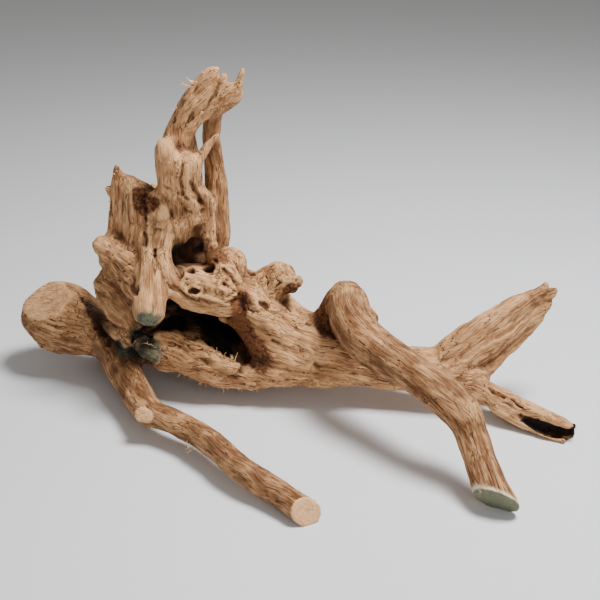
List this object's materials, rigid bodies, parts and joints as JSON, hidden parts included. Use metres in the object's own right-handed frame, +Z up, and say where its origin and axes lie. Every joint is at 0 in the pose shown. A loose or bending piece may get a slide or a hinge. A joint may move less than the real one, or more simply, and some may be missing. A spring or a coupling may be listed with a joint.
{
  "type": "dry root",
  "caption": "Gnarled piece of dry driftwood root that stands on its own limbs, with a hollow crown, a frayed blade, arching legs and a forked tail.",
  "frame": {"origin": "centre of the bounding box's bottom face, on the surface that the root stands on", "axes": "+X along the trunk towards the forked tail, +Y away from the side with the legs, +Z up"},
  "size_m": [0.4555, 0.2853, 0.271],
  "materials": {
    "wood": "dry, weathered and bare, with fibrous grain, brown bark stain on the legs and dark pits"
  },
  "bodies": {
    "root": {"dry_root": "wood"}
  },
  "joints": []
}
